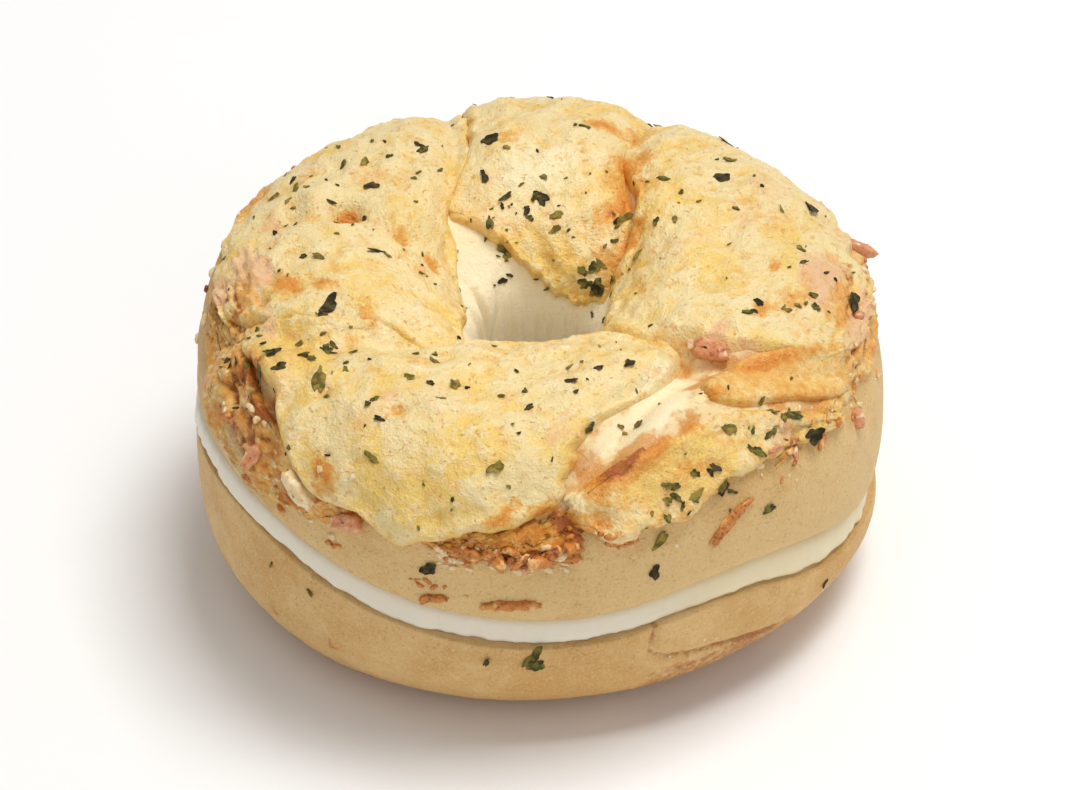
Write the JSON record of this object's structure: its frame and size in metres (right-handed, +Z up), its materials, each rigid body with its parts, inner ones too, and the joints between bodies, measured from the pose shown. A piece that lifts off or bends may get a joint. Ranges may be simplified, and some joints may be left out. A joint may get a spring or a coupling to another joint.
{
  "type": "filled ring bagel",
  "caption": "Ring bagel cut across and filled with white cream, its twisted crown topped with melted cheese, ham bits and dried herb flakes.",
  "frame": {"origin": "centre of the whole bagel's box in plan, at the flat underside it rests on", "axes": "+Z up through the hole, front towards -Y, +X to the right seen from the front"},
  "size_m": [0.1103, 0.1106, 0.0585],
  "materials": {
    "heel_crust": "matte",
    "crown_crust": "matte",
    "cream": "satin",
    "melted_cheese": "satin",
    "ham": "satin",
    "toasted_cheese": "satin",
    "herb": "matte"
  },
  "bodies": {
    "root": {"bottom_half": "heel_crust", "cheese_back": "melted_cheese", "cheese_front": "melted_cheese", "cheese_front_right": "melted_cheese", "cheese_rear_left": "melted_cheese", "cheese_right": "melted_cheese", "cheese_small": "melted_cheese", "cream_filling": "cream", "ham_front_left": "ham", "ham_front_right": "ham", "ham_left": "ham", "ham_right_edge": "ham", "ham_right_of_hole": "ham", "herb_flake_01": "herb", "herb_flake_02": "herb", "herb_flake_03": "herb", "herb_flake_04": "herb", "herb_flake_05": "herb", "herb_flake_06": "herb", "herb_flake_07": "herb", "herb_flake_08": "herb", "herb_flake_09": "herb", "herb_flake_10": "herb", "herb_flake_11": "herb", "herb_flake_12": "herb", "herb_flake_13": "herb", "herb_flake_14": "herb", "herb_flake_15": "herb", "herb_flake_16": "herb", "herb_flake_17": "herb", "herb_flake_18": "herb", "herb_flake_19": "herb", "herb_flake_20": "herb", "herb_flake_21": "herb", "pale_shred_left": "toasted_cheese", "toasted_crumb_front": "toasted_cheese", "toasted_crumb_left": "toasted_cheese", "toasted_shred_front": "toasted_cheese", "toasted_shred_front_left": "toasted_cheese", "toasted_shred_right": "toasted_cheese", "top_half": "crown_crust"}
  },
  "joints": []
}
